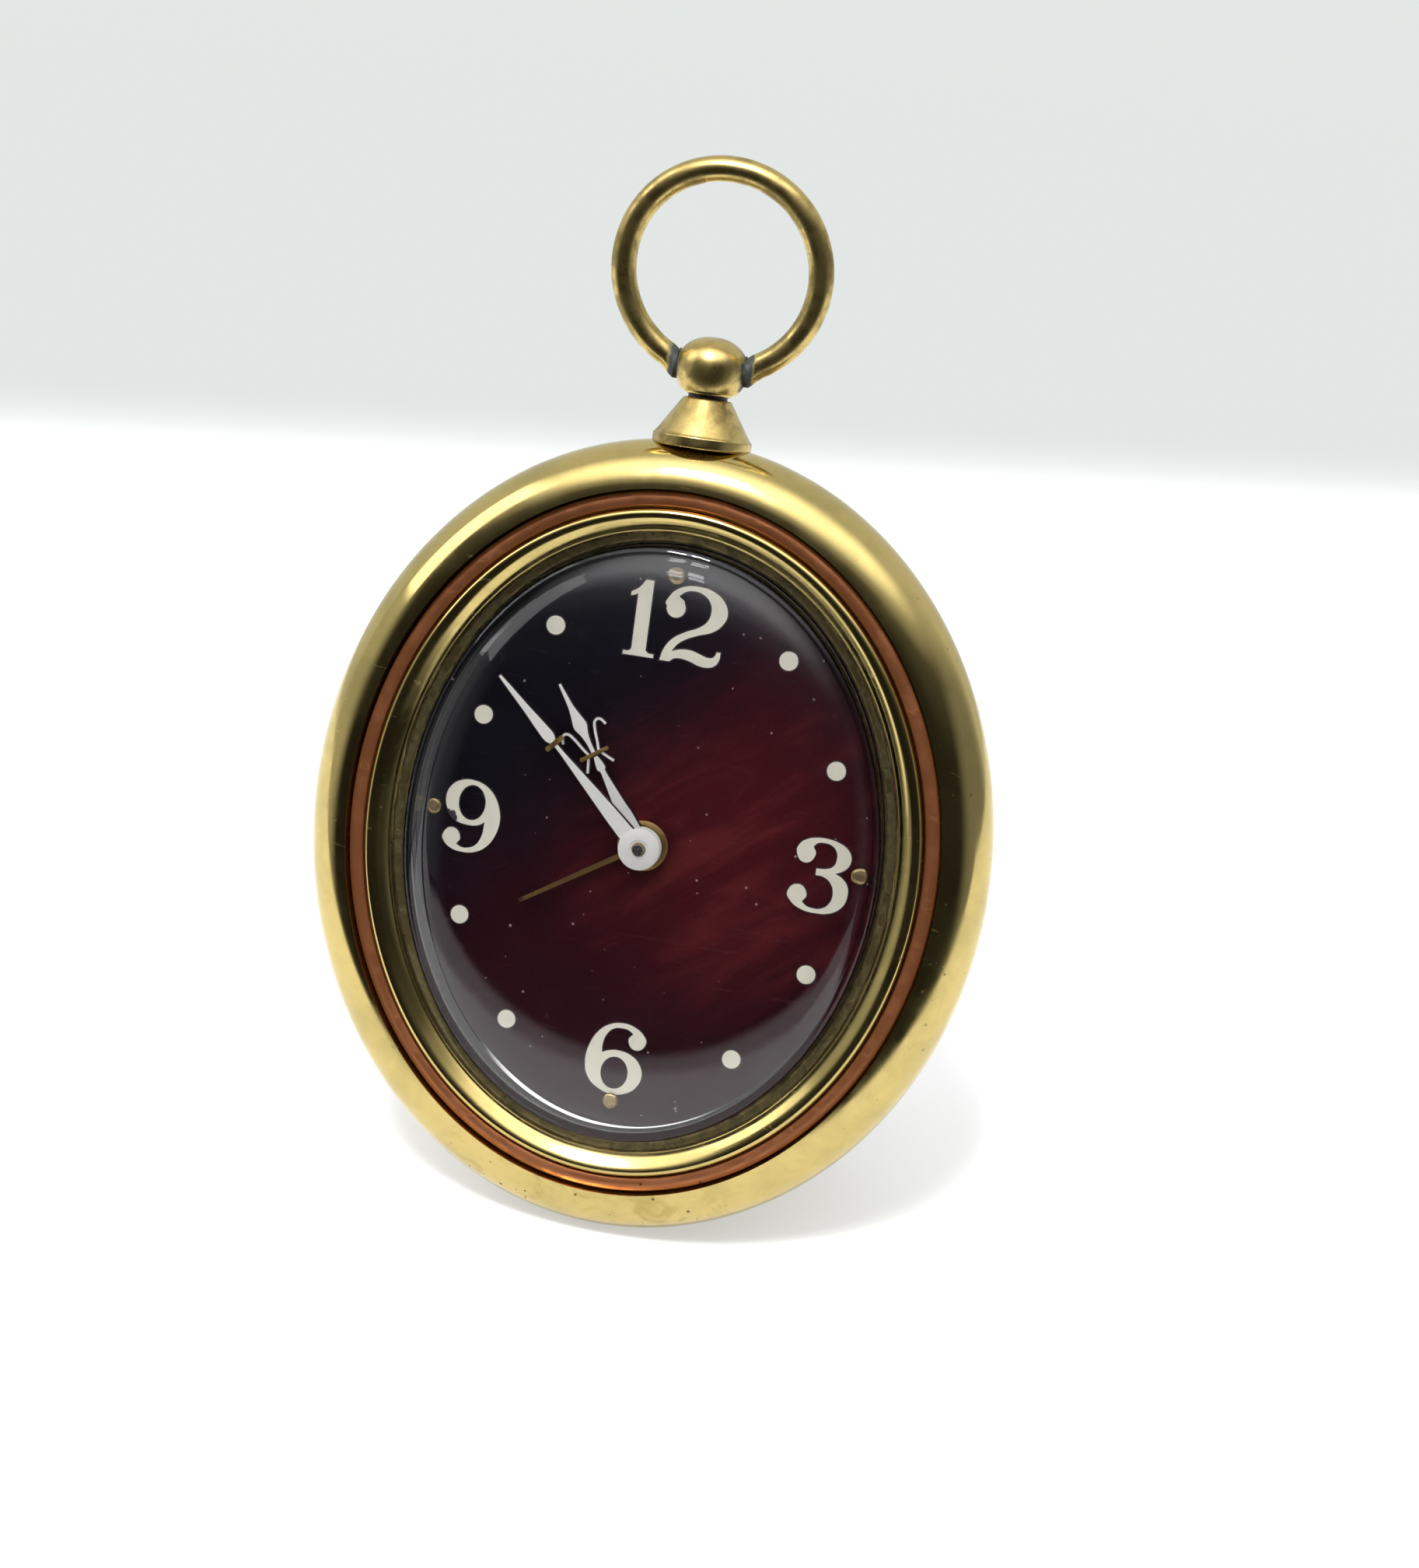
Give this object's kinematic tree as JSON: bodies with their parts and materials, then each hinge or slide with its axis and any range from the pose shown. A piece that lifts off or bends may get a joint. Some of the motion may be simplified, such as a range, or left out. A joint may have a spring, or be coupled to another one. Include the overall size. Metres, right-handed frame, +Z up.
{
  "type": "travel clock",
  "caption": "Small oval wind-up travel alarm clock in brass with a domed crystal, a hanging ring on top and a folding strut behind, standing leaned back.",
  "frame": {"origin": "centre of the bounding box on the table the clock stands on", "axes": "+Z up, dial facing -Y and leaned back by 12 degrees, +X to the reader's right"},
  "size_m": [0.0694, 0.049, 0.1062],
  "materials": {
    "bezel_brass": "polished",
    "case_brass": "polished",
    "inlay_copper": "satin",
    "crystal_acrylic": "polished, scratched",
    "rehaut_brass": "tarnished",
    "dial_lacquer": "gloss",
    "stud_brass": "satin",
    "cover_brass": "satin",
    "screw_steel": "satin",
    "pendant_brass": "worn polish",
    "hinge_nickel": "satin",
    "strut_brass": "satin",
    "hand_white": "satin",
    "alarm_hand_brass": "satin",
    "movement_brass": "satin",
    "arbor_steel": "polished",
    "spring_steel": "blued",
    "control_nickel": "polished nickel plate"
  },
  "bodies": {
    "case": {"bezel_ring": "bezel_brass", "bezel_inlay": "inlay_copper", "crystal": "crystal_acrylic", "crystal_retainer": "rehaut_brass", "case_body": "case_brass", "dial": "dial_lacquer", "dial_stud_12": "stud_brass", "dial_stud_3": "stud_brass", "dial_stud_6": "stud_brass", "dial_stud_9": "stud_brass", "back_cover": "cover_brass", "back_screw_1": "screw_steel", "back_screw_2": "screw_steel", "back_screw_3": "screw_steel", "back_screw_4": "screw_steel", "pendant_collar": "pendant_brass", "pendant_ball": "pendant_brass", "strut_bracket": "hinge_nickel", "strut_hinge_pin": "screw_steel", "pillar_plate": "movement_brass", "rear_plate": "movement_brass", "pillar_1": "movement_brass", "pillar_2": "movement_brass", "pillar_3": "movement_brass", "pillar_4": "movement_brass", "balance_cock": "movement_brass", "cock_screw": "screw_steel", "hairspring": "spring_steel"},
    "bow": {"bow_ring": "pendant_brass"},
    "strut": {"strut_leg": "strut_brass"},
    "centre": {"centre_arbor": "arbor_steel", "cannon_pinion": "arbor_steel", "minute_hand": "hand_white", "hand_set_knob": "control_nickel"},
    "hour": {"hour_wheel": "movement_brass", "hour_hand": "hand_white"},
    "motion_wheel": {"minute_wheel": "movement_brass"},
    "third": {"third_wheel": "movement_brass"},
    "fourth": {"fourth_wheel": "movement_brass"},
    "escape": {"escape_wheel": "movement_brass"},
    "going_barrel": {"time_barrel": "movement_brass", "time_mainspring": "spring_steel"},
    "alarm_disc": {"alarm_wheel": "movement_brass", "alarm_hand": "alarm_hand_brass"},
    "alarm_setting": {"alarm_set_arbor": "arbor_steel", "alarm_set_knob": "control_nickel"},
    "time_key": {"time_key_hub": "control_nickel"},
    "time_wing": {"time_key_wing": "control_nickel"},
    "alarm_key": {"alarm_key_hub": "control_nickel"},
    "alarm_wing": {"alarm_key_wing": "control_nickel"},
    "bell_barrel": {"alarm_barrel": "movement_brass", "alarm_mainspring": "spring_steel"},
    "bell_escape": {"alarm_escape_wheel": "movement_brass"},
    "hammer": {"alarm_hammer": "arbor_steel"},
    "pallet": {"pallet_lever": "arbor_steel"},
    "balance": {"balance_wheel": "movement_brass"},
    "regulator": {"regulator_lever": "arbor_steel"},
    "stop": {"alarm_stop_button": "control_nickel"}
  },
  "joints": [
    {"name": "bow_swing", "type": "hinge", "parent": "case", "child": "bow", "pos_m": [0, -0.00143, 0.08605], "axis": [1, 0, 0], "range_deg": [-120.8, 134.2]},
    {"name": "strut_fold", "type": "hinge", "parent": "case", "child": "strut", "pos_m": [0, 0.00899, 0.02494], "axis": [-1, 0, 0], "range_deg": [0, 34]},
    {"name": "minute_spin", "type": "hinge", "parent": "case", "child": "centre", "pos_m": [0, -0.01279, 0.0398], "axis": [0, -0.9781, 0.2079], "continuous": true},
    {"name": "hour_spin", "type": "hinge", "parent": "case", "child": "hour", "pos_m": [0, -0.01279, 0.0398], "axis": [0, -0.9781, 0.2079], "continuous": true},
    {"name": "motion_spin", "type": "hinge", "parent": "case", "child": "motion_wheel", "pos_m": [-0.00596, -0.01351, 0.03643], "axis": [0, -0.9781, 0.2079], "continuous": true},
    {"name": "third_spin", "type": "hinge", "parent": "case", "child": "third", "pos_m": [-0.00486, -0.01454, 0.03156], "axis": [0, -0.9781, 0.2079], "continuous": true},
    {"name": "fourth_spin", "type": "hinge", "parent": "case", "child": "fourth", "pos_m": [-0.00172, -0.01634, 0.02313], "axis": [0, -0.9781, 0.2079], "continuous": true},
    {"name": "escape_spin", "type": "hinge", "parent": "case", "child": "escape", "pos_m": [0.00607, -0.01605, 0.02447], "axis": [0, -0.9781, 0.2079], "continuous": true},
    {"name": "going_barrel_spin", "type": "hinge", "parent": "case", "child": "going_barrel", "pos_m": [-0.01091, -0.01148, 0.04596], "axis": [0, -0.9781, 0.2079], "continuous": true},
    {"name": "alarm_hand_spin", "type": "hinge", "parent": "case", "child": "alarm_disc", "pos_m": [0, -0.01279, 0.0398], "axis": [0, -0.9781, 0.2079], "continuous": true},
    {"name": "alarm_setting_spin", "type": "hinge", "parent": "case", "child": "alarm_setting", "pos_m": [0.00151, -0.0107, 0.04966], "axis": [0, -0.9781, 0.2079], "continuous": true},
    {"name": "time_key_spin", "type": "hinge", "parent": "case", "child": "time_key", "pos_m": [-0.01091, -0.01148, 0.04596], "axis": [0, -0.9781, 0.2079], "continuous": true},
    {"name": "time_wing_fold", "type": "hinge", "parent": "time_key", "child": "time_wing", "pos_m": [-0.01091, 0.01277, 0.0408], "axis": [-1, 0, 0], "range_deg": [0, 90]},
    {"name": "alarm_key_spin", "type": "hinge", "parent": "case", "child": "alarm_key", "pos_m": [0.0114, -0.01142, 0.04625], "axis": [0, -0.9781, 0.2079], "continuous": true},
    {"name": "alarm_wing_fold", "type": "hinge", "parent": "alarm_key", "child": "alarm_wing", "pos_m": [0.0114, 0.01284, 0.0411], "axis": [-1, 0, 0], "range_deg": [0, 90]},
    {"name": "bell_barrel_spin", "type": "hinge", "parent": "case", "child": "bell_barrel", "pos_m": [0.0114, -0.01142, 0.04625], "axis": [0, -0.9781, 0.2079], "continuous": true},
    {"name": "bell_escape_spin", "type": "hinge", "parent": "case", "child": "bell_escape", "pos_m": [0.00952, -0.00921, 0.05666], "axis": [0, -0.9781, 0.2079], "continuous": true},
    {"name": "hammer_swing", "type": "hinge", "parent": "case", "child": "hammer", "pos_m": [0.00445, -0.00883, 0.05846], "axis": [0, -0.9781, 0.2079], "range_deg": [-8, 8]},
    {"name": "pallet_rock", "type": "hinge", "parent": "case", "child": "pallet", "pos_m": [0.01115, -0.01556, 0.02678], "axis": [0, -0.9781, 0.2079], "range_deg": [-4, 4]},
    {"name": "balance_swing", "type": "hinge", "parent": "case", "child": "balance", "pos_m": [0.01669, -0.01514, 0.02876], "axis": [0, -0.9781, 0.2079], "range_deg": [-135, 135], "stiffness_Nm_per_rad": 0.000004},
    {"name": "regulator_shift", "type": "hinge", "parent": "case", "child": "regulator", "pos_m": [0.01669, -0.01514, 0.02876], "axis": [0, -0.9781, 0.2079], "range_deg": [-15, 15]},
    {"name": "alarm_stop", "type": "slide", "parent": "case", "child": "stop", "axis": [0, -0.9781, 0.2079], "range_m": [0, 0.0016], "stiffness_N_per_m": 150, "springref_m": -0.0015}
  ],
  "couplings": [
    {"joint": "hour_spin", "follows": "minute_spin", "ratio": 0.083333},
    {"joint": "motion_spin", "follows": "minute_spin", "ratio": -0.33333},
    {"joint": "third_spin", "follows": "minute_spin", "ratio": -8},
    {"joint": "fourth_spin", "follows": "minute_spin", "ratio": 60},
    {"joint": "escape_spin", "follows": "minute_spin", "ratio": -480},
    {"joint": "going_barrel_spin", "follows": "minute_spin", "ratio": -0.16667},
    {"joint": "alarm_setting_spin", "follows": "alarm_hand_spin", "ratio": -4},
    {"joint": "bell_escape_spin", "follows": "bell_barrel_spin", "ratio": -5}
  ]
}
